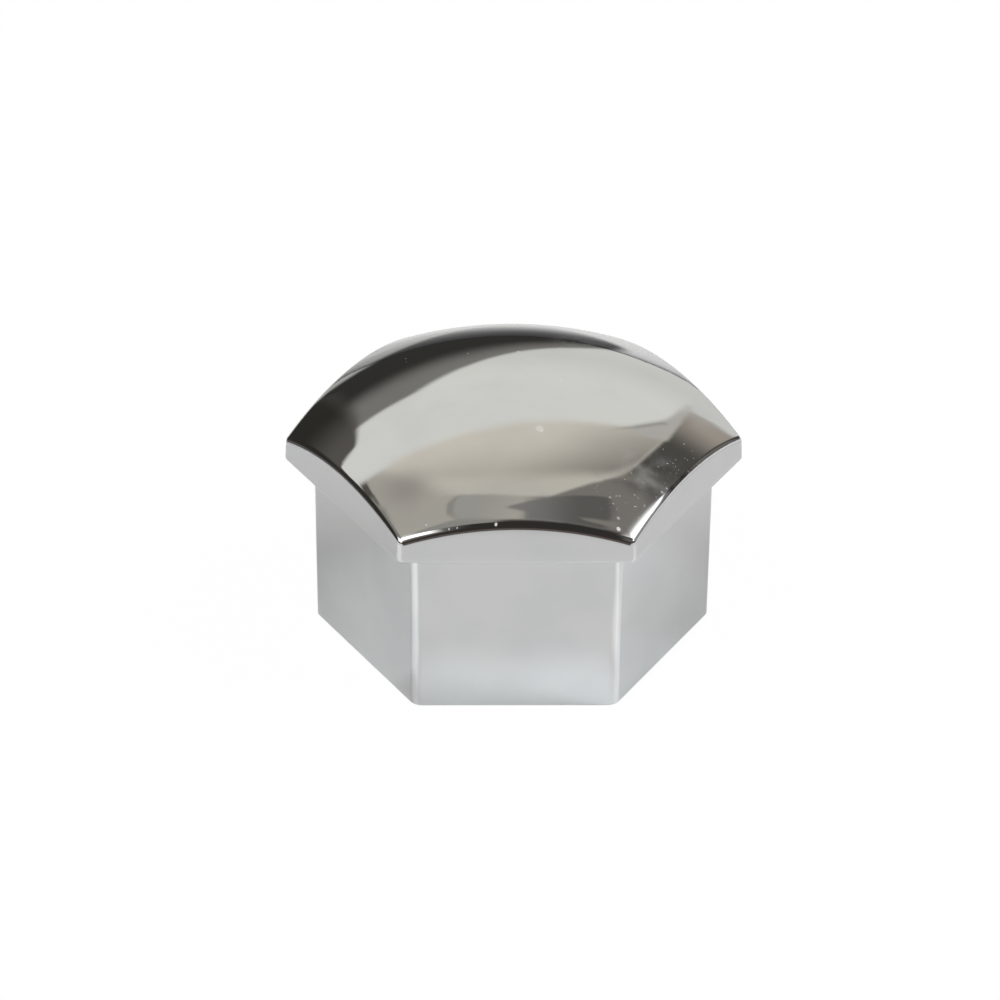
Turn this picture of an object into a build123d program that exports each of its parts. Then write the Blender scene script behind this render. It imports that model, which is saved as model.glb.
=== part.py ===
from build123d import *

import os
from math import cos, radians, tan

# Cover cap for a wheel nut: one moulded and plated piece, in millimetres.
# +Z is up. The origin is the middle of the mouth, on the plane that the cap stands on.
# Two corners of the hexagon lie on the X axis, so a flat faces -Y.

# Hexagon nut that the cap covers
nut_across_flats = 19.0
nut_clearance = 0.1  # each side, between a flat of the nut and a flat of the socket

# Skirt, the sleeve around the nut
skirt_wall = 1.4  # at the mouth
skirt_height = 11.6  # from the mouth to the underside of the rim
skirt_draft = 0.65  # degrees, widening towards the rim
skirt_corner_radius = 0.9
mouth_edge_radius = 0.12

# Rim, the wider hexagon under the dome
rim_step = 1.55  # how far it stands out from the skirt, each side
rim_band = 1.5  # height of its faces at the corners
rim_draft = 2.6  # degrees, narrowing towards the dome
rim_corner_ease = 0.1  # how much rounder its upright corners are than the dome's edge
rim_under_radius = 0.2

# Dome over the rim, part of a ball
dome_rise = 4.4  # from the rim's corners to the crown
dome_edge_radius = 0.55
crown_wall = 1.6

# Socket for the nut
socket_draft = 0.3  # degrees, narrowing towards the crown
socket_corner_radius = 0.5
lead_in_depth = 0.6
lead_in_angle = 35.0  # degrees from the socket's axis
lead_in_overlap = 0.2  # how far its cone runs on inside the socket

# Grip ribs, one on the middle of each flat of the socket
rib_radius = 0.6
rib_proud = 0.2  # how far a rib stands out from its flat
rib_start = 2.0  # height of a rib's lower end over the mouth
rib_taper = 1.0  # length over which a rib rises to its full height

# Sizes that follow from those above; a flat is half of an across-flats size
hexagon_sides = 6
half_sector = 180 / hexagon_sides
socket_flat = nut_across_flats / 2 + nut_clearance
skirt_flat = socket_flat + skirt_wall
rim_flat = skirt_flat + skirt_height * tan(radians(skirt_draft)) + rim_step
dome_flat = rim_flat - rim_band * tan(radians(rim_draft))
dome_corner = dome_flat / cos(radians(half_sector))
rim_corner_radius = dome_edge_radius + rim_corner_ease
dome_radius = (dome_corner**2 + dome_rise**2) / (2 * dome_rise)
crown_top = skirt_height + rim_band + dome_rise
dome_centre = crown_top - dome_radius
ceiling_radius = dome_radius - crown_wall
lead_in_run = lead_in_depth * tan(radians(lead_in_angle))
lead_in_flat = socket_flat + lead_in_run
lead_in_corner_radius = socket_corner_radius + lead_in_run
rib_root_radius = rib_radius - rib_proud
rib_axis = socket_flat + rib_root_radius

# A ball lies on its side, so that its seam and poles stay clear of the dome
ball_tilt = (0, 90, 0)

# A rib stands on its lower end
upright = (Align.CENTER, Align.CENTER, Align.MIN)


# Room inside the cap: socket, lead-in at the mouth and domed ceiling, less the ribs
with BuildPart() as socket_room:
    with BuildSketch() as socket_outline:
        RegularPolygon(socket_flat, hexagon_sides, major_radius=False)
        fillet(socket_outline.vertices(), socket_corner_radius)
    extrude(amount=crown_top, taper=socket_draft)
    with Locations((0, 0, dome_centre)):
        Sphere(ceiling_radius, rotation=ball_tilt, mode=Mode.INTERSECT)
    with BuildSketch() as lead_in_outline:
        RegularPolygon(lead_in_flat, hexagon_sides, major_radius=False)
        fillet(lead_in_outline.vertices(), lead_in_corner_radius)
    extrude(amount=lead_in_depth + lead_in_overlap, taper=lead_in_angle)
    with Locations((0, 0, rib_start)):
        with PolarLocations(rib_axis, hexagon_sides, start_angle=half_sector):
            Cone(rib_root_radius, rib_radius, rib_taper, align=upright, mode=Mode.SUBTRACT)
    with Locations((0, 0, rib_start + rib_taper)):
        with PolarLocations(rib_axis, hexagon_sides, start_angle=half_sector):
            Cylinder(rib_radius, crown_top, align=upright, mode=Mode.SUBTRACT)


# The cap: rim and dome, then the skirt, then the room inside
with BuildPart() as nut_cover_cap:
    with BuildSketch(Plane.XY.offset(skirt_height)) as rim_outline:
        RegularPolygon(rim_flat, hexagon_sides, major_radius=False)
        fillet(rim_outline.vertices(), rim_corner_radius)
    extrude(amount=rim_band + dome_rise, taper=rim_draft)
    with Locations((0, 0, dome_centre)):
        Sphere(dome_radius, rotation=ball_tilt, mode=Mode.INTERSECT)
    dome = nut_cover_cap.faces().sort_by(Axis.Z)[-1]
    fillet(dome.edges(), dome_edge_radius)
    rim_underside = nut_cover_cap.faces().sort_by(Axis.Z)[0]
    fillet(rim_underside.edges(), rim_under_radius)

    with BuildSketch() as skirt_outline:
        RegularPolygon(skirt_flat, hexagon_sides, major_radius=False)
        fillet(skirt_outline.vertices(), skirt_corner_radius)
    extrude(amount=skirt_height, taper=-skirt_draft)
    mouth = nut_cover_cap.faces().sort_by(Axis.Z)[0]
    fillet(mouth.edges(), mouth_edge_radius)
    add(socket_room.part, mode=Mode.SUBTRACT)


os.makedirs("parts", exist_ok=True)
nut_cover_cap.part.label = "nut_cover_cap"
export_step(nut_cover_cap.part, "parts/nut_cover_cap.step")
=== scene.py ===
"""Cover cap for a wheel nut: its plated shell, the finish on it, and the studio that it stands in.

Lengths are in metres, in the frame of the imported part: +Z is up, the mouth of the cap stands on
z = 0, two corners of the hexagon lie on the X axis and a flat faces -Y, towards the camera.
"""

import logging
import math
from dataclasses import dataclass
from enum import Enum
from typing import Any, Mapping, Optional, Sequence, Union

import bpy
import numpy as np
from mathutils import Matrix, Vector

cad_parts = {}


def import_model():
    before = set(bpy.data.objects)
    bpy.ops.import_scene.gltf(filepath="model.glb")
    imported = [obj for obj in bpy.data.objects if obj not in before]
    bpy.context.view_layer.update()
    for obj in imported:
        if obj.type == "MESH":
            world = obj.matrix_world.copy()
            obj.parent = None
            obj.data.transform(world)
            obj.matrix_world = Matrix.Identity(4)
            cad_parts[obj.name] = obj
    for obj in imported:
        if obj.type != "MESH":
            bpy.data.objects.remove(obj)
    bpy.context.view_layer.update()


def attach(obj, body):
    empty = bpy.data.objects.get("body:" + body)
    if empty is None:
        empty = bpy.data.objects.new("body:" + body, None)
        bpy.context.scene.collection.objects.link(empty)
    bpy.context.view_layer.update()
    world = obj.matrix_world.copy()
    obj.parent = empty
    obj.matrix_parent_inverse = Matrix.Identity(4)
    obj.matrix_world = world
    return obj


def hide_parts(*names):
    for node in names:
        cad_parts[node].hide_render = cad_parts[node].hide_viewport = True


LOG = logging.getLogger("cap")

MM = 0.001
CAD_NODE = "nut_cover_cap"
CAD_BODY = "root"
PLATING_SLOT = "chrome_plating"

Pair = tuple[float, float]
Colour = tuple[float, float, float]
Points = np.ndarray

WHITE: Colour = (1.0, 1.0, 1.0)
DARK: Colour = (0.045, 0.041, 0.037)  # where the studio is unlit
SIDES = 6  # of the cap's hexagon
ORIGIN = (0.0, 0.0, 0.0)


class Sum(Enum):
    """Operations of the Math node."""

    ADD = "ADD"
    SUBTRACT = "SUBTRACT"
    MULTIPLY = "MULTIPLY"
    MAXIMUM = "MAXIMUM"


class VectorSum(Enum):
    """Operations of the Vector Math node."""

    SUBTRACT = "SUBTRACT"
    MULTIPLY = "MULTIPLY"
    MULTIPLY_ADD = "MULTIPLY_ADD"
    NORMALIZE = "NORMALIZE"
    DOT = "DOT_PRODUCT"
    DISTANCE = "DISTANCE"


class Ray(Enum):
    """Kinds of ray that the Light Path node tells apart."""

    CAMERA = "Is Camera Ray"
    GLOSSY = "Is Glossy Ray"
    TRANSMISSION = "Is Transmission Ray"


class Output(Enum):
    """Nodes that a tree may end in."""

    MATERIAL = "ShaderNodeOutputMaterial"
    WORLD = "ShaderNodeOutputWorld"


class Wire:
    """One output of a shader node. Its operators add Math nodes."""

    def __init__(self, graph: "Graph", socket: Optional[bpy.types.NodeSocket]) -> None:
        """Keeps the socket with the graph that it belongs to."""
        self.graph = graph
        self.socket = socket

    def __add__(self, other: "Value") -> "Wire":
        """Self plus other."""
        return self.graph.math(Sum.ADD, self, other)

    def __radd__(self, other: "Value") -> "Wire":
        """Other plus self."""
        return self.graph.math(Sum.ADD, other, self)

    def __sub__(self, other: "Value") -> "Wire":
        """Self minus other."""
        return self.graph.math(Sum.SUBTRACT, self, other)

    def __rsub__(self, other: "Value") -> "Wire":
        """Other minus self."""
        return self.graph.math(Sum.SUBTRACT, other, self)

    def __mul__(self, other: "Value") -> "Wire":
        """Self times other."""
        return self.graph.math(Sum.MULTIPLY, self, other)

    def __rmul__(self, other: "Value") -> "Wire":
        """Other times self."""
        return self.graph.math(Sum.MULTIPLY, other, self)

    def __or__(self, other: "Value") -> "Wire":
        """The larger of self and other, as the union of two masks."""
        return self.graph.math(Sum.MAXIMUM, self, other)

    def __ror__(self, other: "Value") -> "Wire":
        """The larger of other and self."""
        return self.graph.math(Sum.MAXIMUM, other, self)


Value = Union[Wire, float]


class Graph:
    """A shader node tree that is written as Python calls."""

    def __init__(self, tree: bpy.types.NodeTree) -> None:
        """Starts from an empty tree."""
        self.tree = tree
        tree.nodes.clear()

    def node(
        self,
        kind: str,
        settings: Optional[Mapping[str, Any]] = None,
        inputs: Optional[Mapping[str, Any]] = None,
        output: str = "",
    ) -> Wire:
        """Adds a node.

        Args:
            kind: The node's type.
            settings: Its properties, such as a Math node's operation, set before its sockets.
            inputs: Values or links, by socket identifier.
            output: Identifier of the output to return, or the first one if empty.

        Returns:
            The chosen output.
        """
        made = self.tree.nodes.new(kind)
        for name, value in (settings or {}).items():
            setattr(made, name, value)
        for name, value in (inputs or {}).items():
            socket = next(s for s in made.inputs if s.identifier == name)
            if isinstance(value, Wire):
                self.tree.links.new(value.socket, socket)
            elif socket.type == "RGBA":
                socket.default_value = (*value, 1.0)
            else:
                socket.default_value = value
        outputs = [s for s in made.outputs if s.identifier == output or not output]
        return Wire(self, outputs[0] if outputs else None)

    def math(self, kind: Sum, first: Value, second: Value) -> Wire:
        """A Math node on two values."""
        return self.node("ShaderNodeMath", {"operation": kind.value}, {"Value": first, "Value_001": second})

    def smooth(self, value: Wire, low: float, high: float) -> Wire:
        """A soft step of the value, from 0 at low to 1 at high; low may be the larger."""
        return self.node(
            "ShaderNodeMapRange",
            {"interpolation_type": "SMOOTHSTEP"},
            {"Value": value, "From Min": low, "From Max": high},
        )

    def mix(self, share: Value, first: Any, second: Any, label: str = "") -> Wire:
        """A colour between two, each a link or a colour, from a node that may have a label."""
        inputs = {"Factor_Float": share, "A_Color": first, "B_Color": second}
        return self.node("ShaderNodeMix", {"data_type": "RGBA", "label": label}, inputs, "Result_Color")

    def blend(self, share: Value, first: Wire, second: Wire) -> Wire:
        """A shader between two."""
        return self.node("ShaderNodeMixShader", None, {"Fac": share, "Shader": first, "Shader_001": second})

    def vector(self, kind: VectorSum, *parts: Any) -> Wire:
        """Adds a Vector Math node.

        Args:
            kind: Its operation.
            parts: Links or plain vectors for its inputs, in their order.

        Returns:
            A value for a dot product or a distance, else a vector.
        """
        names = ("Vector", "Vector_001", "Vector_002")
        output = "Value" if kind in (VectorSum.DOT, VectorSum.DISTANCE) else "Vector"
        return self.node("ShaderNodeVectorMath", {"operation": kind.value}, dict(zip(names, parts)), output)

    def dot(self, vector: Wire, other: Sequence[float]) -> Wire:
        """The part of a vector that lies along another."""
        return self.vector(VectorSum.DOT, vector, tuple(other))

    def far(self, place: Wire, point: Sequence[float]) -> Wire:
        """The distance of a place from a point."""
        return self.vector(VectorSum.DISTANCE, place, tuple(point))

    def towards(self, place: Wire, eye: Sequence[float]) -> Wire:
        """The direction in which a place is seen from a point."""
        return self.vector(VectorSum.NORMALIZE, self.vector(VectorSum.SUBTRACT, place, tuple(eye)))

    def hexagon(self, place: Wire) -> Wire:
        """Finds the hexagon round the Z axis, with a flat facing -Y, that runs through a place.

        Args:
            place: The place, in any unit of length.

        Returns:
            Half the hexagon's across-flats size.
        """
        size: Value = 0.0
        for side in range(SIDES // 2):
            turn = math.radians((side + 0.5) * 360.0 / SIDES)
            across = self.dot(place, (math.cos(turn), math.sin(turn), 0.0))
            size = size | across | across * -1.0
        return size

    def noise(self, place: Wire, scale: float, detail: float, output: str = "Fac") -> Wire:
        """Noise from 0 to 1 with a mean of about a half, one value or, as "Color", three."""
        inputs = {"Vector": place, "Scale": scale, "Detail": detail}
        return self.node("ShaderNodeTexNoise", None, inputs, output)

    def ray(self, *kinds: Ray) -> Wire:
        """Tells rays apart.

        Args:
            kinds: The kinds of ray to look for.

        Returns:
            1 on a ray of any of these kinds, else 0.
        """
        found = [self.node("ShaderNodeLightPath", None, None, kind.value) for kind in kinds]
        seen = found[0]
        for other in found[1:]:
            seen = seen | other
        return seen

    def end(self, kind: Output, shader: Wire) -> None:
        """Ends the tree in an output node."""
        self.node(kind.value, None, {"Surface": shader})


def new_material(name: str) -> tuple[bpy.types.Material, Graph]:
    """Starts a material.

    Args:
        name: Its name.

    Returns:
        The material and its node tree, which is empty.
    """
    material = bpy.data.materials.new(name)
    material.use_nodes = True
    return material, Graph(material.node_tree)


def new_object(data: bpy.types.ID) -> bpy.types.Object:
    """Puts a mesh or a camera into the scene, as an object of the same name.

    Args:
        data: The mesh or the camera.

    Returns:
        The object.
    """
    made = bpy.data.objects.new(data.name, data)
    bpy.context.scene.collection.objects.link(made)
    return made


@dataclass(frozen=True)
class Spot:
    """A round patch on the dome, seen from above."""

    x: float  # mm, as are y and the radius
    y: float
    radius: float
    share: float = 1.0  # how strong it is

    def mask(self, graph: Graph, flat: Wire, softness: float) -> Wire:
        """Where the patch lies.

        Args:
            graph: The tree to add to.
            flat: The place on the cap in millimetres, with its height left out.
            softness: Share of the radius over which the patch fades.

        Returns:
            The patch's share in it, 0 outside it.
        """
        away = graph.far(flat, (self.x, self.y, 0.0))
        return graph.smooth(away, self.radius, self.radius * (1.0 - softness)) * self.share


@dataclass(frozen=True)
class Dust:
    """Grains and a thin film of dust on the dome, most of it at the front right."""

    colour: Colour = (0.80, 0.81, 0.83)
    ball_centre: float = -8.81  # mm over the mouth; the dust lies on the dome's ball alone
    ball_range: Pair = (25.86, 26.06)  # mm from that centre, from no dust to all of it
    films: tuple[Spot, ...] = (Spot(8.6, -7.6, 3.0, 0.15), Spot(4.2, 6.8, 2.6, 0.07))
    film_softness: float = 0.8  # share of a film's radius over which it fades
    smear_noise: Pair = (0.8, 5.0)  # scale for each millimetre, and detail
    smear_range: Pair = (0.35, 0.75)  # of that noise, from no film to a whole one
    zones: tuple[Spot, ...] = (
        Spot(7.8, -9.0, 2.6),
        Spot(5.9, -10.3, 1.5),
        Spot(10.4, -5.8, 2.2),
        Spot(4.0, 6.8, 2.6, 0.7),
    )
    zone_softness: float = 0.6  # share of a zone's radius over which it fades
    grain_scale: float = 5.2  # cells for each millimetre
    grain_size: float = 0.4  # largest radius, as a share of a cell
    grain_share: float = 0.42  # how much the strongest grain covers
    grain_blur: float = 0.16  # how soft a grain's outline is, as a share of a cell
    crumple: float = 0.22  # mm by which the outlines are pushed about
    crumple_noise: Pair = (5.0, 2.0)  # scale for each millimetre, and detail
    dense: float = 0.4  # share of the cells that stays empty, in the zones
    sparse: float = 0.992  # the same elsewhere
    luck_step: float = 0.01  # how soft the choice of cells is
    specks: tuple[Spot, ...] = (
        Spot(6.3, -12.0, 0.17, 0.7),
        Spot(6.3, -11.3, 0.13, 0.35),
        Spot(5.8, -10.0, 0.09, 0.3),
        Spot(6.0, -10.4, 0.08, 0.3),
        Spot(9.1, -8.6, 0.13, 0.4),
        Spot(9.4, -8.2, 0.11, 0.4),
        Spot(-1.3, -12.4, 0.11, 0.8),
        Spot(-5.6, -11.9, 0.07, 0.5),
        Spot(1.5, -5.2, 0.34, 0.22),
        Spot(1.6, -5.4, 0.16, 0.3),
        Spot(-4.2, -12.4, 0.08, 0.5),
        Spot(-3.7, -12.4, 0.07, 0.5),
        Spot(-2.9, 4.0, 0.09, 0.3),
        Spot(0.3, 3.9, 0.16, 0.3),
    )
    speck_softness: float = 0.5  # share of a speck's radius over which it fades

    def mask(self, graph: Graph, place: Wire, flat: Wire) -> Wire:
        """How much of the plating is covered.

        Args:
            graph: The tree to add to.
            place: The place on the cap in millimetres.
            flat: The same with its height left out.

        Returns:
            The share that is covered, 0 on clean plating.
        """
        push = graph.noise(flat, *self.crumple_noise, "Color")
        uneven = graph.vector(VectorSum.MULTIPLY_ADD, push, (self.crumple, self.crumple, 0.0), flat)
        cell = {"Vector": uneven, "Scale": self.grain_scale}
        settings = {"voronoi_dimensions": "2D"}
        away = graph.node("ShaderNodeTexVoronoi", settings, cell, "Distance")
        chance = graph.node("ShaderNodeTexVoronoi", settings, cell, "Color")
        size, luck, glint = (
            graph.node("ShaderNodeSeparateColor", None, {"Color": chance}, part)
            for part in ("Red", "Green", "Blue")
        )
        zone: Value = 0.0
        for spot in self.zones:
            zone = zone | spot.mask(graph, flat, self.zone_softness)
        lucky = luck + zone * (self.sparse - self.dense)
        kept = graph.smooth(lucky, self.sparse, self.sparse + self.luck_step)
        reach = size * size * self.grain_size
        covered = graph.smooth(reach - away, 0.0, self.grain_blur) * kept * glint * glint * self.grain_share
        for spot in self.specks:
            covered = covered | spot.mask(graph, flat, self.speck_softness)
        smear = graph.smooth(graph.noise(flat, *self.smear_noise), *self.smear_range)
        for spot in self.films:
            covered = covered | smear * spot.mask(graph, flat, self.film_softness)
        rise = graph.far(place, (0.0, 0.0, self.ball_centre))
        return covered * graph.smooth(rise, *self.ball_range)


@dataclass(frozen=True)
class ChromePlating:
    """Bright decorative plating on moulded plastic, mirror smooth outside and duller in the socket."""

    colour: Colour = (0.60, 0.60, 0.60)
    cloud: Colour = (0.57, 0.573, 0.58)
    roughness: float = 0.025
    haze: float = 0.03  # what clouding adds to the roughness
    cloud_noise: Pair = (0.22, 4.0)  # scale for each millimetre, and detail
    cloud_range: Pair = (0.4, 0.7)  # of that noise, from clear to clouded
    socket_colour: Colour = (0.47, 0.465, 0.455)
    socket_roughness: float = 0.24
    grain_roughness: float = 0.1  # what grain adds to it at most
    grain_noise: Pair = (3.0, 3.0)
    socket_wall: Pair = (10.4, 10.0)  # mm from the axis, from the outside to the socket
    socket_centre: float = -8.8  # mm over the mouth, the dome's centre
    socket_ceiling: Pair = (25.7, 25.3)  # mm from that centre, from the outside to the socket
    peel: float = 0.004 * MM  # height of the waviness left by the moulded plastic
    wave_noise: Pair = (0.3, 1.0)
    ripple_noise: Pair = (1.1, 2.0)
    ripple_height: float = 0.12  # of the finer waves, as a share of the peel
    grain_height: float = 0.4  # of the grain in the socket, as a share of the peel
    dust: Dust = Dust()

    def _inside(self, graph: Graph, place: Wire) -> Wire:
        """Tells the socket from the outside.

        Args:
            graph: The tree to add to.
            place: The place on the cap in millimetres.

        Returns:
            1 on the walls and ceiling of the socket, 0 outside the cap.
        """
        walls = graph.smooth(graph.hexagon(place), *self.socket_wall)
        rise = graph.far(place, (0.0, 0.0, self.socket_centre))
        return walls * graph.smooth(rise, *self.socket_ceiling)

    def material(self) -> bpy.types.Material:
        """Makes the finish.

        Returns:
            The material.
        """
        material, graph = new_material(PLATING_SLOT)
        metres = graph.node("ShaderNodeTexCoord", None, None, "Object")
        place = graph.vector(VectorSum.MULTIPLY, metres, (1 / MM, 1 / MM, 1 / MM))
        flat = graph.vector(VectorSum.MULTIPLY, metres, (1 / MM, 1 / MM, 0.0))
        inside = self._inside(graph, place)
        dust = self.dust.mask(graph, place, flat)
        cloud = graph.smooth(graph.noise(place, *self.cloud_noise), *self.cloud_range)
        colour = graph.mix(cloud, self.colour, self.cloud)
        colour = graph.mix(inside, colour, self.socket_colour)
        colour = graph.mix(dust, colour, self.dust.colour)
        grain = graph.noise(place, *self.grain_noise)
        dull = self.socket_roughness + grain * self.grain_roughness
        rough = self.roughness + cloud * self.haze + inside * dull
        ripple = graph.noise(place, *self.ripple_noise) * self.ripple_height
        peel = graph.noise(place, *self.wave_noise) + ripple + inside * grain * self.grain_height
        bump = graph.node("ShaderNodeBump", None, {"Height": peel, "Distance": self.peel, "Strength": 1.0})
        inputs = {"Base Color": colour, "Metallic": 1.0 - dust, "Roughness": rough, "Normal": bump}
        graph.end(Output.MATERIAL, graph.node("ShaderNodeBsdfPrincipled", None, inputs))
        return material


@dataclass
class CapShell:
    """The whole cap, lathed round a rounded hexagon from the crown to the ceiling of its socket.

    Every ring has the same places around it. A place is an anchor on a sharp hexagon plus a run along
    the outward direction there, so a ring is set by its hexagon and its corner radius.
    """

    nut_across_flats: float = 19.0 * MM
    nut_clearance: float = 0.1 * MM
    skirt_wall: float = 1.4 * MM
    skirt_height: float = 11.6 * MM
    skirt_draft: float = math.radians(0.65)
    skirt_corner_radius: float = 0.9 * MM
    mouth_edge_radius: float = 0.12 * MM
    rim_step: float = 1.55 * MM
    rim_band: float = 1.5 * MM
    rim_draft: float = math.radians(2.6)
    rim_corner_ease: float = 0.1 * MM
    rim_under_radius: float = 0.2 * MM
    dome_rise: float = 4.4 * MM
    dome_edge_radius: float = 0.55 * MM
    crown_wall: float = 1.6 * MM
    socket_draft: float = math.radians(0.3)
    socket_corner_radius: float = 0.5 * MM
    lead_in_depth: float = 0.6 * MM
    lead_in_angle: float = math.radians(35.0)
    rib_radius: float = 0.6 * MM
    rib_proud: float = 0.2 * MM
    rib_start: float = 2.0 * MM
    rib_taper: float = 1.0 * MM
    rib_least: float = 0.1  # half width kept for a rib that still lies in its wall, as a share of its radius
    arc_steps: int = 12  # round a corner
    rib_steps: int = 10  # across a rib
    flat_steps: int = 12  # from a rib to a corner
    dome_steps: int = 44
    edge_steps: int = 14
    small_edge_steps: int = 8
    face_steps: int = 4
    wall_steps: int = 10
    ceiling_steps: int = 20
    ceiling_rounds: int = 4  # of the search for the height where the wall meets the ceiling
    crease: float = math.radians(28.0)

    def __post_init__(self) -> None:
        """Works out the sizes that follow from the fields, and the places around a ring."""
        half_sector = math.radians(180.0 / SIDES)
        self.socket_flat = self.nut_across_flats / 2 + self.nut_clearance
        self.skirt_flat = self.socket_flat + self.skirt_wall
        self.rim_flat = self.skirt_flat + self.skirt_height * math.tan(self.skirt_draft) + self.rim_step
        self.dome_flat = self.rim_flat - self.rim_band * math.tan(self.rim_draft)
        dome_corner = self.dome_flat / math.cos(half_sector)
        self.rim_corner_radius = self.dome_edge_radius + self.rim_corner_ease
        self.dome_radius = (dome_corner**2 + self.dome_rise**2) / (2 * self.dome_rise)
        self.crown_top = self.skirt_height + self.rim_band + self.dome_rise
        self.dome_centre = self.crown_top - self.dome_radius
        self.ceiling_radius = self.dome_radius - self.crown_wall
        self.rib_axis = self.socket_flat + self.rib_radius - self.rib_proud
        self.socket_hexagon = self.socket_flat - self.socket_corner_radius
        self.skirt_hexagon = self.skirt_flat - self.skirt_corner_radius
        self.rim_hexagon = self.rim_flat - self.rim_corner_radius
        self.half_flat = self.socket_hexagon * math.tan(half_sector)
        self._place(half_sector)

    def _place(self, half_sector: float) -> None:
        """Sets the anchors and outward directions around a ring.

        Args:
            half_sector: Half the angle between two corners, in radians.
        """
        rib_half = math.sqrt(self.rib_radius**2 - (self.rib_axis - self.socket_flat) ** 2)
        rib_share = rib_half / self.half_flat
        inner = np.linspace(-rib_share, rib_share, self.rib_steps + 1)
        outer = np.linspace(rib_share, 1.0, self.flat_steps + 1)[1:-1]
        shares = np.concatenate([-outer[::-1], inner, outer])
        turns = np.linspace(-half_sector, half_sector, self.arc_steps + 1)
        anchors, outward, along = [], [], []
        for corner in range(SIDES):
            angle = corner * 2 * half_sector
            tip = np.array([math.cos(angle), math.sin(angle)]) / math.cos(half_sector)
            anchors.append(np.tile(tip, (len(turns), 1)))
            outward.append(np.stack([np.cos(angle + turns), np.sin(angle + turns)], 1))
            along.append(np.full(len(turns), np.nan))
            middle = angle + half_sector
            normal = np.array([math.cos(middle), math.sin(middle)])
            side = np.array([-normal[1], normal[0]])
            anchors.append(normal + math.tan(half_sector) * shares[:, None] * side)
            outward.append(np.tile(normal, (len(shares), 1)))
            along.append(shares)
        self.anchors = np.concatenate(anchors)
        self.outward = np.concatenate(outward)
        self.along = np.concatenate(along)
        self.rib_share = rib_share
        self.sideways = np.stack([-self.outward[:, 1], self.outward[:, 0]], 1)

    def _ring(self, hexagon: float, run: Union[float, Points], height: Union[float, Points]) -> Points:
        """Points around one ring.

        Args:
            hexagon: Half the across-flats size of the anchors' hexagon.
            run: How far out from the anchors, one number or one for each place.
            height: Height over the mouth, one number or one for each place.

        Returns:
            An array of points.
        """
        count = len(self.anchors)
        flat = hexagon * self.anchors + np.broadcast_to(run, count)[:, None] * self.outward
        return np.column_stack([flat, np.broadcast_to(height, count)])

    def _rolled(self, centres: Points, radius: float, start: float, end: float, steps: int) -> list[Points]:
        """Rings of an edge that a ball has rounded, turning in upright planes.

        Args:
            centres: Centres of the ball.
            radius: Radius of the ball.
            start: Angle over the horizon where the edge starts, in radians.
            end: Angle where it ends.
            steps: Number of steps.

        Returns:
            The rings, from start to end.
        """
        rings = []
        for angle in np.linspace(start, end, steps + 1):
            push = np.column_stack([self.outward * math.cos(angle), np.full(len(centres), math.sin(angle))])
            rings.append(centres + radius * push)
        return rings

    def _crown(self) -> list[Points]:
        """Makes the dome and the edge that rounds it into the rim.

        A small ball rolls along the edge, inside the dome and inside the rim's faces. The height of its
        centre at each place around the ring solves a quadratic.

        Returns:
            The rings, from the crown down.
        """
        lean = math.tan(self.rim_draft)
        ball = self.dome_radius - self.dome_edge_radius
        inset = self.dome_edge_radius / math.cos(self.rim_draft)
        start = self.rim_corner_radius + self.skirt_height * lean - inset
        base = self.rim_hexagon * self.anchors
        reach = np.sum(base * self.outward, 1)
        a = 1 + lean**2
        b = -2 * (start * lean + reach * lean + self.dome_centre)
        c = np.sum(base**2, 1) + 2 * reach * start + start**2 + self.dome_centre**2 - ball**2
        height = (-b + np.sqrt(b**2 - 4 * a * c)) / (2 * a)
        centres = self._ring(self.rim_hexagon, start - lean * height, height)
        over = centres - np.array([0.0, 0.0, self.dome_centre])
        over /= np.linalg.norm(over, axis=1, keepdims=True)
        aside = np.column_stack(
            [self.outward * math.cos(self.rim_draft), np.full(len(centres), math.sin(self.rim_draft))]
        )
        sweep = np.arccos(np.clip(np.sum(over * aside, 1), -1, 1))[:, None]
        edge = []
        for share in np.linspace(0.0, 1.0, self.edge_steps + 1):
            push = (np.sin((1 - share) * sweep) * over + np.sin(share * sweep) * aside) / np.sin(sweep)
            edge.append(centres + self.dome_edge_radius * push)
        shares = [k / self.dome_steps for k in range(1, self.dome_steps)]
        return [self._on_ball(edge[0], share, self.dome_radius) for share in shares] + edge

    def _on_ball(self, ring: Points, share: float, radius: float) -> Points:
        """A ring drawn in towards the axis and set on a ball round the dome's centre.

        Args:
            ring: The ring to start from.
            share: Its new size, as a share of the old one.
            radius: Radius of the ball.

        Returns:
            The new ring.
        """
        flat = ring[:, :2] * share
        height = self.dome_centre + np.sqrt(radius**2 - np.sum(flat**2, 1))
        return np.column_stack([flat, height])

    @staticmethod
    def _between(first: Points, last: Points, steps: int) -> list[Points]:
        """Rings between two, without the first and with the last."""
        return [first + (last - first) * k / steps for k in range(1, steps + 1)]

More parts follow.
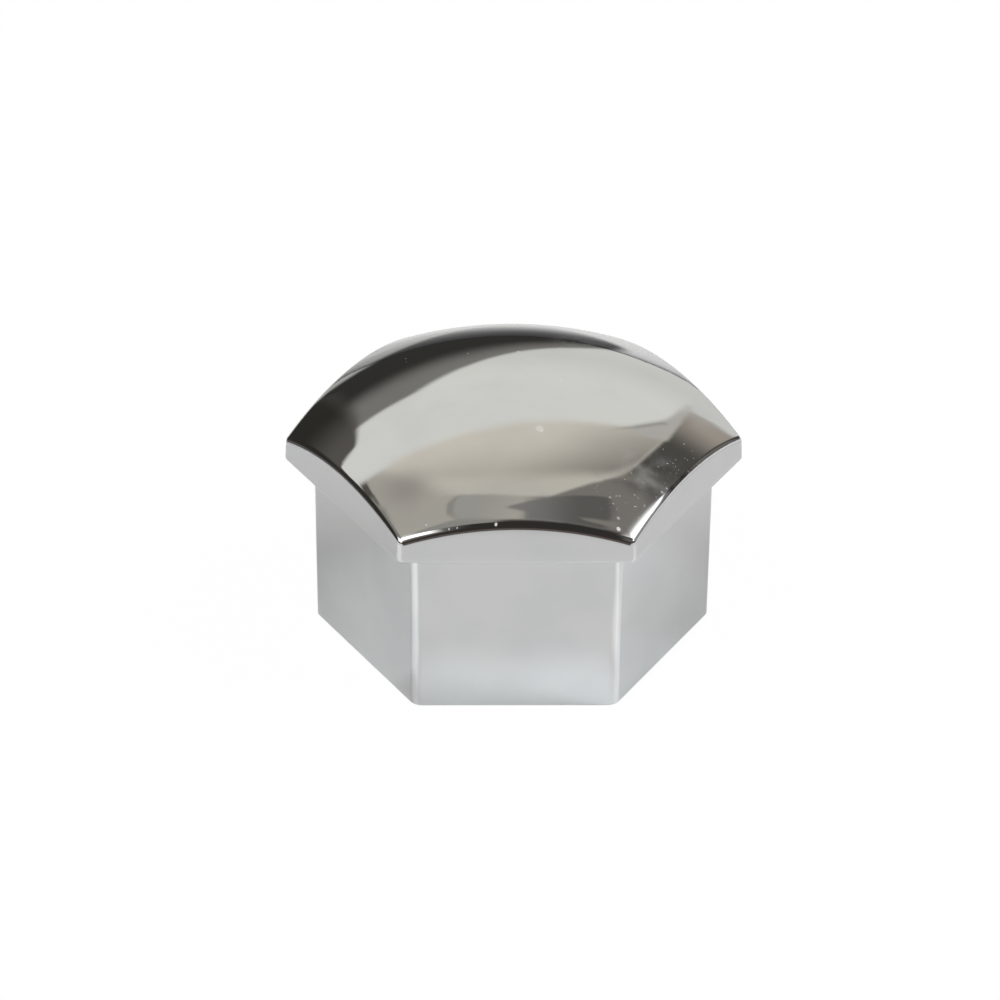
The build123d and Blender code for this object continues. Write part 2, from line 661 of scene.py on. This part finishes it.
    def _outside(self) -> list[Points]:
        """Makes the dome, the rim and the skirt.

        Returns:
            The rings, from the crown down to the mouth.
        """
        rings = self._crown()
        lean = math.tan(self.rim_draft)
        small = self.rim_under_radius
        run = self.rim_corner_radius - small * lean - small / math.cos(self.rim_draft)
        centres = self._ring(self.rim_hexagon, run, self.skirt_height + small)
        under = self._rolled(centres, small, self.rim_draft, -math.pi / 2, self.small_edge_steps)
        rings += self._between(rings[-1], under[0], self.face_steps) + under[1:]
        top_run = self.skirt_corner_radius + self.skirt_height * math.tan(self.skirt_draft)
        top = self._ring(self.skirt_hexagon, top_run, self.skirt_height)
        rings += self._between(rings[-1], top, self.face_steps)
        small = self.mouth_edge_radius
        inset = small / math.cos(self.skirt_draft)
        run = self.skirt_corner_radius + small * math.tan(self.skirt_draft) - inset
        centres = self._ring(self.skirt_hexagon, run, small)
        mouth = self._rolled(centres, small, -self.skirt_draft, -math.pi / 2, self.small_edge_steps)
        return rings + self._between(rings[-1], mouth[0], 2 * self.face_steps) + mouth[1:]

    def _wall(self, height: Union[float, Points]) -> Points:
        """One ring of the socket's wall with its ribs.

        Args:
            height: Height over the mouth, one number or one for each place.

        Returns:
            The ring.
        """
        level = np.broadcast_to(height, len(self.anchors))
        run = self.socket_corner_radius - level * math.tan(self.socket_draft)
        rise = np.clip((level - self.rib_start) / self.rib_taper, 0.0, 1.0)
        radius = self.rib_radius - self.rib_proud * (1.0 - rise)
        wall = self.socket_hexagon + run
        least = self.rib_least * self.rib_radius
        half = np.sqrt(np.maximum(radius**2 - (self.rib_axis - wall) ** 2, least**2))
        # Half a flat is 1 long; a rib takes up the first part of it, and the rest spreads to the corner
        share = np.nan_to_num(self.along)
        inner = half / self.half_flat * share / self.rib_share
        spread = (np.abs(share) - self.rib_share) / (1.0 - self.rib_share)
        outer = np.sign(share) * (half / self.half_flat + spread * (1.0 - half / self.half_flat))
        place = np.where(np.abs(share) <= self.rib_share, inner, outer)
        slide = np.where(np.isnan(self.along), 0.0, (place - share) * self.half_flat)
        depth = np.sqrt(np.maximum(radius**2 - (place * self.half_flat) ** 2, 0.0))
        proud = np.where(np.isnan(self.along), 0.0, np.maximum(wall - (self.rib_axis - depth), 0.0))
        proud = np.where(depth > 0.0, proud, 0.0)
        ring = self._ring(self.socket_hexagon, run - proud, level)
        ring[:, :2] += slide[:, None] * self.sideways
        return ring

    def _inside(self) -> list[Points]:
        """Makes the lead-in, the socket's walls with their ribs, and its ceiling.

        Returns:
            The rings, from the mouth's inner edge up to the ceiling.
        """
        slope = math.tan(self.lead_in_angle)
        lead_run = self.socket_corner_radius + self.lead_in_depth * slope
        lead_top = self.lead_in_depth * slope / (slope - math.tan(self.socket_draft))
        rings = [self._ring(self.socket_hexagon, lead_run, 0.0)]
        rings += self._between(rings[0], self._wall(lead_top), self.face_steps)
        rings += [self._wall(h) for h in np.linspace(lead_top, self.rib_start, self.face_steps + 1)[1:]]
        full = self.rib_start + self.rib_taper
        rings += [self._wall(h) for h in np.linspace(self.rib_start, full, self.wall_steps + 1)[1:]]
        top = self._wall(full)
        for _ in range(self.ceiling_rounds):
            top = self._wall(self._on_ball(top, 1.0, self.ceiling_radius)[:, 2])
        rise = top[:, 2] - full
        rings += [self._wall(full + rise * k / self.wall_steps) for k in range(1, self.wall_steps + 1)]
        shares = np.linspace(1.0, 0.0, self.ceiling_steps + 1)[1:-1]
        return rings + [self._on_ball(rings[-1], share, self.ceiling_radius) for share in shares]

    def build(self) -> bpy.types.Object:
        """Makes the shell as one closed mesh.

        Returns:
            The object.
        """
        rings = self._outside() + self._inside()
        count = len(self.anchors)
        crown = (0.0, 0.0, self.crown_top)
        ceiling = (0.0, 0.0, self.dome_centre + self.ceiling_radius)
        points = np.concatenate([[crown], *rings, [ceiling]])
        around = np.arange(count)
        after = np.roll(around, -1)
        faces = [(0, 1 + i, 1 + j) for i, j in zip(around, after)]
        for k in range(len(rings) - 1):
            here, there = 1 + k * count, 1 + (k + 1) * count
            faces += [(here + i, there + i, there + j, here + j) for i, j in zip(around, after)]
        last, end = 1 + (len(rings) - 1) * count, len(points) - 1
        faces += [(last + i, end, last + j) for i, j in zip(around, after)]
        mesh = bpy.data.meshes.new("cap_shell")
        mesh.from_pydata(points.tolist(), [], faces)
        mesh.validate()
        mesh.shade_smooth()
        mesh.set_sharp_from_angle(angle=self.crease)
        shell = new_object(mesh)
        even = shell.modifiers.new("even_normals", "WEIGHTED_NORMAL")
        even.keep_sharp = True
        return shell

    def dress(self, shell: bpy.types.Object, finish: ChromePlating) -> None:
        """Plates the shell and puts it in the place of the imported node.

        Args:
            shell: The shell's object.
            finish: The plating.
        """
        shell.data.materials.append(finish.material())
        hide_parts(CAD_NODE)
        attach(shell, CAD_BODY)


@dataclass(frozen=True)
class PhotoCamera:
    """The camera of the photograph, which looks down on a flat of the cap."""

    picture_width: float = 1000.0  # pixels, and as many high
    focal_pixels: float = 6400.0
    sensor: float = 36.0  # millimetres, as Blender counts lenses
    distance: float = 413.6 * MM
    height_angle: float = math.radians(31.42)
    side_angle: float = math.radians(-0.96)
    roll: float = math.radians(0.46)
    aim_right: float = -0.797 * MM
    aim_up: float = 7.267 * MM
    clip_start: float = 10.0 * MM

    def build(self) -> bpy.types.Object:
        """Makes the camera and has the scene look through it.

        Returns:
            The camera's object.
        """
        level = math.cos(self.height_angle)
        aside, ahead = math.sin(self.side_angle) * level, math.cos(self.side_angle) * level
        back = Vector((aside, -ahead, math.sin(self.height_angle)))
        right = Vector((0.0, 0.0, 1.0)).cross(back).normalized()
        up = back.cross(right)
        turn = Matrix.Rotation(self.roll, 3, back)
        right, up = turn @ right, turn @ up
        data = bpy.data.cameras.new("photo_camera")
        data.sensor_width = self.sensor
        data.lens = self.sensor * self.focal_pixels / self.picture_width
        data.clip_start = self.clip_start
        camera = new_object(data)
        place = Matrix((right, up, back)).transposed().to_4x4()
        place.translation = right * self.aim_right + up * self.aim_up + back * self.distance
        camera.matrix_world = place
        bpy.context.scene.camera = camera
        return camera


def sky(right: float, back: float) -> Vector:
    """A direction seen from the cap.

    Args:
        right: Degrees to the right of straight up.
        back: Degrees behind straight up, away from the camera.

    Returns:
        The direction as a unit vector.
    """
    lean = math.radians(math.hypot(right, back))
    turn = math.atan2(right, back)
    return Vector((math.sin(lean) * math.sin(turn), math.sin(lean) * math.cos(turn), math.cos(lean)))


def inward_edges(corners: Sequence[Pair]) -> list[Vector]:
    """The edges of a polygon in the sky.

    Args:
        corners: Degrees right and back of straight up.

    Returns:
        For the edge that starts at each corner, the direction square to it and into the polygon.
    """
    points = [sky(*corner) for corner in corners]
    middle = sum(points, Vector())
    edges = []
    for first, second in zip(points, points[1:] + points[:1]):
        inward = first.cross(second).normalized()
        edges.append(inward if inward.dot(middle) > 0 else -inward)
    return edges


@dataclass(frozen=True)
class Panel:
    """A plain field of light or dark in the studio, seen from the cap as a polygon with soft edges."""

    name: str  # the label of its node
    colour: Colour
    corners: tuple[Pair, ...]  # degrees right and back of straight up
    softness: tuple[float, ...]  # degrees, for the edge that starts at each corner, or for all of them

    def mask(self, graph: Graph, direction: Wire) -> Wire:
        """Where the panel stands.

        Args:
            graph: The tree to add to.
            direction: The direction that is looked in.

        Returns:
            1 in the panel, 0 outside it.
        """
        softness = self.softness if len(self.softness) > 1 else self.softness * len(self.corners)
        found: Value = 1.0
        for inward, soft in zip(inward_edges(self.corners), softness):
            edge = math.sin(math.radians(soft))
            found = found * graph.smooth(graph.dot(direction, inward), -edge, edge)
        return found

    def over(self, graph: Graph, direction: Wire, colour: Any) -> Wire:
        """The colour behind the panel, with the panel in front of it."""
        return graph.mix(self.mask(graph, direction), colour, self.colour, self.name)


# Stretches of outline that panels share, in degrees right and back of straight up
HOOP_SIDE = ((32, 58), (31.8, 50), (31, 44), (29, 36))
WARM_FOOT = ((10, 18), (0, 16.5), (-12, 16.5), (-20, 20))
WEDGE_END = ((12, 12.4), (18.5, 14.6), (22.5, 15), (24, 9), (22, 2.8))

# The studio as the dome mirrors it; a later panel stands in front of an earlier one
PANELS = (
    Panel(
        "front_haze", (0.22, 0.21, 0.19),
        ((-13, 1), (-13, -52), (-24, -66), (-60, -50), (-60, 1)), (5, 6, 6, 6, 1),
    ),
    Panel(
        "right_haze", (0.17, 0.165, 0.155),
        ((28, 1), (60, 1), (60, -50), (24, -66), (20, -45)), (1, 6, 6, 6, 6),
    ),
    Panel("right_dusk", (0.20, 0.19, 0.175), ((50, 56), (90, 56), (90, 28), (56, 30)), (4,)),
    Panel("dark_right", (0.105, 0.1, 0.088), ((26, 54), (40, 54), (52, 40), (46, 20), (26, 21.5)), (2,)),
    Panel("grey_card", (0.42, 0.41, 0.39), ((60, 16), (85, 16), (85, -5), (55, -5)), (3,)),
    Panel("right_wall", (0.50, 0.45, 0.39), ((30, 53), (44, 50), (44, 72), (30, 70)), (9, 4, 2, 1)),
    Panel("low_wall", (0.86, 0.86, 0.83), ((28, 67), (44, 66), (44, 110), (15, 110)), (1.5, 4, 2, 2)),
    Panel(
        "ceiling", (0.58, 0.55, 0.485),
        ((-45, 36), (-45, 1.2), (0, 2), (12, 2.4), (12, 14), (-10, 40)), (4, 2, 1.5, 1, 3, 3),
    ),
    Panel(
        "left_grey", (0.32, 0.305, 0.275),
        ((-30.3, 16), (-30.3, -1), (-56, -1), (-43, 16)), (1.8, 1.5, 5, 2),
    ),
    Panel(
        "dim_wall", (0.275, 0.26, 0.235),
        ((8, 22), (25, 24), (38, 17), (40, 3), (3, 3)), (3, 6, 3, 1.5, 3),
    ),
    Panel(
        "pale_hoop", (0.75, 0.715, 0.63),
        (*HOOP_SIDE, (26.5, 28), (23, 22.5), (16.5, 17), (12.3, 13.6), (9.2, 11.6), (3, 10.9), (-8, 12.2),
         (-14, 13.2), (-22, 20), (-28, 40)),
        (0.8, 0.8, 1, 1, 0.9, 0.9, 0.9, 0.9, 0.8, 0.8, 0.8, 3, 5, 3),
    ),
    Panel(
        "warm_wall", (0.89, 0.84, 0.735),
        (*HOOP_SIDE, (26.8, 29), (20, 22), *WARM_FOOT, (-29, 28.5), (-40, 40)),
        (0.8, 0.8, 0.8, 0.8, 2.5, 4.5, 4.5, 4.5, 4.5, 4, 2.5, 2),
    ),
    Panel(
        "warm_fade", (0.66, 0.615, 0.53),
        ((26, 23), (18, 20.5), *WARM_FOOT, (-26, 23)), (1, 4.5, 4.5, 4.5, 4.5, 4, 9.5),
    ),
    Panel(
        "warm_shade", (0.30, 0.27, 0.235),
        ((32, 49), (31, 44), (29, 36), (26.8, 29), (22, 23), (15, 20), (9.5, 18.9)),
        (0.8, 0.8, 0.8, 2, 3, 4, 12),
    ),
    Panel("dusky_spot", (0.46, 0.425, 0.375), ((-29.5, 21), (-25, 25.5), (-18.5, 19), (-23.5, 13.5)), (5,)),
    Panel("notch", (0.22, 0.21, 0.19), ((-31.6, 22), (-31.2, 17), (-40, 14), (-40, 22)), (0.5, 1.5, 2, 0.7)),
    Panel(
        "dark_spot", (0.13, 0.115, 0.1),
        ((-32, 28.5), (-31.9, 21.5), (-45, 16), (-56, 20), (-56, 30)), (0.5, 1, 3, 3, 3),
    ),
    Panel(
        "left_band", (0.96, 0.96, 0.92),
        ((-26, 45), (-43, 35.3), (-50, 30.5), (-53, 26), (-47, 20.5), (-26, 31)), (2, 1, 1, 1, 1.5, 1),
    ),
    Panel("diffuser_frame", (0.64, 0.62, 0.57), ((24, 42), (31.5, 45), (31.6, 70), (24, 70)), (1, 0.6, 1, 1)),
    Panel("frame_line", (0.43, 0.42, 0.39), ((21.5, 42.2), (29.8, 53.6), (30.4, 53.2), (26, 46.2)), (0.6,)),
    Panel(
        "diffuser", (0.985, 0.985, 0.935),
        ((-35, 28.5), (-12, 34), (14, 41), (21.5, 43.2), (25, 46.3), (28, 51), (29.8, 54.8), (30.6, 59),
         (30.9, 66), (30.2, 85), (20, 110), (-60, 110)),
        (2.5, 2.5, 2, 1.5, 1.2, 1, 0.8, 0.6, 1, 3, 3, 3),
    ),
    Panel("diffuser_foot", (0.83, 0.83, 0.79), ((-10, 69), (36, 67), (40, 110), (0, 110)), (10, 3, 3, 3)),
    Panel(
        "dark_gap", (0.278, 0.27, 0.25),
        ((-50, 43.5), (-30, 51.3), (-24, 54.7), (-17, 58.6), (-4, 70.9), (3, 77.4), (10.7, 84.3),
         (13.3, 87.8), (15.4, 91.4), (17.5, 95), (17, 110), (-60, 110)),
        (1.2, 1.2, 1.2, 1.2, 1, 1, 1, 1, 1.2, 1.5, 2, 3),
    ),
    Panel(
        "dark_gap_core", (0.042, 0.041, 0.037),
        ((-50, 52), (-30, 61), (-17, 68), (-4, 75), (3, 79.2), (11, 86.6), (15, 92), (17, 110), (-60, 110)),
        (7, 7, 8, 7, 4.5, 3, 2, 2, 3),
    ),
    Panel(
        "dark_block", (0.135, 0.127, 0.113),
        ((-27.4, 79), (-28.7, 53), (-29.8, 48.5), (-30.4, 45.6), (-31.4, 43.2), (-33.9, 40.8),
         (-37.5, 37.1), (-60, 26), (-90, 40), (-60, 85)),
        (2, 1, 1, 1, 1, 1, 1, 1, 1, 1),
    ),
    Panel(
        "dark_block_core", (0.037, 0.036, 0.031),
        ((-27.4, 79), (-28.5, 58.8), (-60, 26), (-90, 40), (-60, 85)), (2, 8, 1, 1, 1),
    ),
    Panel(
        "low_left", (0.52, 0.52, 0.50),
        ((-11, 96), (-18.5, 87.5), (-28, 80.8), (-55, 63), (-69, 55), (-93, 75), (-14, 119)),
        (1, 1, 1, 1.5, 2, 2, 2),
    ),
    Panel(
        "board_edge", (0.39, 0.38, 0.34),
        ((-15.8, 7.2), (-15.3, 10.8), (-13, 12.7), (-11, 12.6), (-12, 3.5)), (0.5, 0.6, 0.6, 1.5, 1),
    ),
    Panel(
        "grey_board", (0.485, 0.47, 0.43),
        ((-14.2, 7.2), (-13.7, 10.5), (-12.5, 12.6), (-3, 11.4), (-5, 2), (-12, 3)),
        (0.7, 0.7, 0.6, 6, 2, 1),
    ),
    Panel(
        "front_shade", (0.39, 0.38, 0.345),
        ((-25, 2.6), (-15.5, 5), (-12.5, 5.1), (-4, 3), (-4, 0), (-25, 0)), (0.6, 0.6, 1.5, 2, 2, 2),
    ),
    Panel(
        "dark_wedge_tip", (0.30, 0.29, 0.275),
        ((-3, 7.7), (6, 10.2), (12, 12.3), (12, 4), (3, 5.8)), (0.5, 0.5, 1, 1, 0.6),
    ),
    Panel(
        "dark_wedge", (0.285, 0.275, 0.26),
        ((4, 9.6), *WEDGE_END, (3, 2.8)), (0.5, 0.5, 0.6, 1.5, 1.5, 1.5, 1.5),
    ),
    Panel(
        "dark_wedge_core", (0.155, 0.15, 0.14),
        ((10, 11.8), *WEDGE_END, (10, 2.8)), (0.5, 0.5, 0.6, 1.5, 1.5, 1.5, 7),
    ),
    Panel("light_streak", (0.31, 0.295, 0.26), ((16, 6), (25, 7.4), (25.5, 5.4), (17, 5.4)), (0.6,)),
    Panel("front_dark", DARK, ((25, 1.2), (3, 1.2), (-3, -40), (-9, -100), (7, -100), (25, -40)), (1.5,)),
    Panel("front_low", DARK, ((-45, -72), (-45, -96), (45, -96), (45, -72)), (3,)),
    Panel("front_line", (0.17, 0.095, 0.075), ((-30, -77.5), (-30, -83), (40, -78), (40, -72.5)), (1.5,)),
    Panel("left_low", DARK, ((-46, 66), (-82, 5), (-100, 6), (-62, 88)), (3,)),
)

# Painted shade on the table: darker fields that stand in for the floor's shade, as the rim and the edges
# mirror them, seen from the crown
TABLE_PAINTED_SHADE = (
    Panel(
        "rear", (0.57, 0.57, 0.57),
        ((-60, 88), (-45, 112), (0, 125), (45, 112), (60, 88)), (4, 4, 4, 4, 20),
    ),
    Panel("rear_left", (0.48, 0.48, 0.47), ((-30, 84), (-25, 98), (-12, 103), (0, 100), (-8, 88)), (4,)),
    Panel(
        "dim_strip", (0.11, 0.11, 0.11),
        ((-19, 87), (-15, 96), (-10.6, 100.9), (15, 102), (18.8, 98.4), (19.2, 95), (16.5, 91), (12, 87)),
        (1.5, 1.5, 8, 2, 1.5, 1.2, 1.2, 3),
    ),
    Panel("front_dim", (0.10, 0.095, 0.09), ((-40, -79), (-40, -100), (40, -100), (40, -79)), (4, 5, 4, 10)),
    Panel("left_dim", (0.10, 0.095, 0.09), ((-50, 72), (-88, 8), (-104, 9), (-60, 85)), (10, 4, 5, 4)),
)


@dataclass(frozen=True)
class Softbox:
    """A lamp with a flat white face, turned to the cap."""

    name: str
    corners: tuple[Pair, ...]  # degrees right and back of straight up
    brightness: float  # of its face, as it lights the table, where white paper has 1
    rim: float  # degrees over which its face fades towards its edges
    shine: float = 2.5  # brightness of its face in a mirror
    distance: float = 0.6

    def build(self) -> bpy.types.Object:
        """Makes the lamp.

        Returns:
            The lamp's object.
        """
        points = [sky(*corner) for corner in self.corners]
        middle = sum(points, Vector()).normalized()
        points = [point * (self.distance / point.dot(middle)) for point in points]
        turned = (points[1] - points[0]).cross(points[2] - points[1]).dot(middle) < 0
        mesh = bpy.data.meshes.new(self.name)
        order = list(range(len(points)))
        mesh.from_pydata(points, [], [order if turned else order[::-1]])
        mesh.materials.append(self.material())
        lamp = new_object(mesh)
        lamp.visible_camera = False
        return lamp

    def material(self) -> bpy.types.Material:
        """Makes the lamp's face.

        Returns:
            The material.
        """
        material, graph = new_material(self.name)
        glow = graph.node("ShaderNodeEmission", None, {"Color": WHITE, "Strength": self.brightness})
        face = graph.node("ShaderNodeEmission", None, {"Color": WHITE, "Strength": self.shine})
        clear = graph.node("ShaderNodeBsdfTransparent")
        direction = graph.towards(graph.node("ShaderNodeNewGeometry", None, None, "Position"), ORIGIN)
        lit: Value = 1.0
        for inward in inward_edges(self.corners):
            lit = lit * graph.smooth(graph.dot(direction, inward), 0.0, math.sin(math.radians(self.rim)))
        mirrored = graph.ray(Ray.GLOSSY, Ray.TRANSMISSION)
        front = graph.blend(mirrored, glow, graph.blend(lit, clear, face))
        behind = graph.node("ShaderNodeNewGeometry", None, None, "Backfacing")
        graph.end(Output.MATERIAL, graph.blend(behind, front, clear))
        return material


SOFTBOXES = (
    Softbox("left_softbox", ((-16.5, -1.4), (-13.5, -44), (-56, -11), (-29, 4.5)), 5.2, 5.5),
    Softbox("right_softbox", ((24, -3.5), (28.7, 11), (35.3, 22.5), (66, 12.6), (54, -11)), 7.2, 4.5),
    Softbox("left_card", ((-50, -1.65), (-21, -37), (-46, -58), (-76, -1.65)), 2.2, 1.2),
    Softbox("right_card", ((49, -7), (43, -22), (56, -38), (71, -9)), 5.6, 4.0),
)


@dataclass(frozen=True)
class PaintedLightPool:
    """A round patch of painted light on the table, or of painted shade where its tone is darker than the
    table's, that the cap's walls mirror.
    """

    colour: Colour
    x: float  # mm, as are y and the radius
    y: float
    radius: float

    def mask(self, graph: Graph, place: Wire) -> Wire:
        """1 in the inner third of the patch, 0 outside it."""
        radius = self.radius * MM
        return graph.smooth(graph.far(place, (self.x * MM, self.y * MM, 0.0)), radius, radius / 3)


# Painted light: patches lighter than the table near the cap, where light thrown off the plating and the lamps
# would brighten it; the patch darker than the table, by the front-left corner of the mouth, is painted shade
PAINTED_LIGHT_POOLS = (
    PaintedLightPool((0.96, 0.995, 1.0), -3.5, -12, 7),
    PaintedLightPool((0.96, 0.995, 1.0), 3.5, -12, 7),
    PaintedLightPool((0.92, 0.945, 0.95), -10.5, -7.5, 7),
    PaintedLightPool((0.96, 0.99, 1.0), 10.5, -7.5, 7),
    PaintedLightPool((0.98, 1.0, 1.0), -17, -18, 8),
    PaintedLightPool((0.96, 0.99, 1.0), -12.5, -14.5, 6),
    PaintedLightPool(WHITE, 15, -15.5, 7),
    PaintedLightPool(WHITE, 21, -19.5, 7),
    PaintedLightPool((0.98, 1.0, 1.0), -18, -4, 8.5),
    PaintedLightPool((0.97, 0.98, 0.98), 18, -3, 8.5),
    PaintedLightPool((0.76, 0.76, 0.77), -8.2, -10.8, 2.8),
)


@dataclass(frozen=True)
class Table:
    """A glossy white top that shows white to the camera and keeps a trace of the cap's shadow."""

    size: float = 3.0
    colour: Colour = (0.81, 0.81, 0.81)
    roughness: float = 0.12
    glow_to_camera: float = 0.985  # share of plain white in what the camera sees of it
    gloss_reach: Pair = (60 * MM, 90 * MM)  # where its gloss ends, from the cap's axis
    opening: Pair = (10.88 * MM, 10.86 * MM)  # clear hexagon under the cap
    painted_light_pools: tuple[PaintedLightPool, ...] = PAINTED_LIGHT_POOLS
    eye: tuple[float, float, float] = (0.0, 0.0, 17.5 * MM)  # from where its panels are seen as stated
    panels: tuple[Panel, ...] = TABLE_PAINTED_SHADE

    def build(self) -> bpy.types.Object:
        """Makes the table top.

        Returns:
            Its object.
        """
        half = self.size / 2
        mesh = bpy.data.meshes.new("table_top")
        corners = [(-half, -half, 0.0), (half, -half, 0.0), (half, half, 0.0), (-half, half, 0.0)]
        mesh.from_pydata(corners, [], [(0, 1, 2, 3)])
        mesh.materials.append(self.material())
        table = new_object(mesh)
        return table

    def material(self) -> bpy.types.Material:
        """Makes the table's finish, which is clear under the cap and from below, to see into the socket.

        Returns:
            The material.
        """
        material, graph = new_material("white_table")
        place = graph.node("ShaderNodeNewGeometry", None, None, "Position")
        colour: Any = self.colour
        # Painted light and shade: the patches tint the table's colour where the cap's walls mirror it
        for light_pool in self.painted_light_pools:
            colour = graph.mix(light_pool.mask(graph, place), colour, light_pool.colour)
        direction = graph.towards(place, self.eye)
        # Painted shade: darker fields laid over the table's colour
        for panel in self.panels:
            colour = panel.over(graph, direction, colour)
        inputs = {"Base Color": colour, "Roughness": self.roughness}
        gloss = graph.node("ShaderNodeBsdfPrincipled", None, inputs)
        matt = graph.node("ShaderNodeBsdfDiffuse", None, {"Color": colour})
        mirrored = graph.blend(graph.smooth(graph.far(place, ORIGIN), *self.gloss_reach), gloss, matt)
        plain = graph.node("ShaderNodeBsdfDiffuse", None, {"Color": self.colour})
        glow = graph.node("ShaderNodeEmission", None, {"Color": WHITE})
        shown = graph.blend(self.glow_to_camera, plain, glow)
        top = graph.blend(graph.ray(Ray.CAMERA), mirrored, shown)
        clear = graph.node("ShaderNodeBsdfTransparent")
        under = graph.node("ShaderNodeNewGeometry", None, None, "Backfacing")
        unseen = under | graph.smooth(graph.hexagon(place), *self.opening)
        graph.end(Output.MATERIAL, graph.blend(unseen, top, clear))
        return material


@dataclass(frozen=True)
class Room:
    """The room around the table: white to the camera, panels on a dark ground to metal, plain to all else."""

    ground: Colour = DARK
    plain: Colour = (0.2, 0.2, 0.2)
    foot: Colour = (0.62, 0.62, 0.6)
    foot_height: Pair = (4.0, 1.5)  # degrees over the table, where it ends and is whole
    panels: tuple[Panel, ...] = PANELS

    def build(self) -> bpy.types.World:
        """Makes the world.

        Returns:
            The world.
        """
        world = bpy.data.worlds.new("studio_room")
        world.use_nodes = True
        graph = Graph(world.node_tree)
        direction = graph.node("ShaderNodeTexCoord", None, None, "Generated")
        heights = (math.sin(math.radians(height)) for height in self.foot_height)
        low = graph.smooth(graph.dot(direction, (0.0, 0.0, 1.0)), *heights)
        colour = graph.mix(low, self.ground, self.foot)
        for panel in self.panels:
            colour = panel.over(graph, direction, colour)
        room = graph.node("ShaderNodeBackground", None, {"Color": colour})
        plain = graph.node("ShaderNodeBackground", None, {"Color": self.plain})
        paper = graph.node("ShaderNodeBackground", None, {"Color": WHITE})
        unseen = graph.blend(graph.ray(Ray.GLOSSY, Ray.TRANSMISSION), plain, room)
        graph.end(Output.WORLD, graph.blend(graph.ray(Ray.CAMERA), unseen, paper))
        bpy.context.scene.world = world
        return world


def main() -> None:
    """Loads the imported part, then builds the cap, the camera and the studio."""
    logging.basicConfig(level=logging.INFO, format="%(name)s: %(message)s")
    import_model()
    bpy.context.scene.view_settings.view_transform = "Standard"

    cap = CapShell()
    shell = cap.build()
    cap.dress(shell, ChromePlating())
    LOG.info("%s: %d faces", shell.name, len(shell.data.polygons))

    camera = PhotoCamera().build()
    LOG.info("%s: lens of %.1f mm", camera.name, camera.data.lens)

    room = Room().build()
    LOG.info("%s: %d panels", room.name, len(PANELS))
    table = Table().build()
    LOG.info("%s: stage", table.name)
    for softbox in SOFTBOXES:
        LOG.info("%s: lamp", softbox.build().name)

    bpy.context.view_layer.update()


if __name__ == "__main__":
    main()
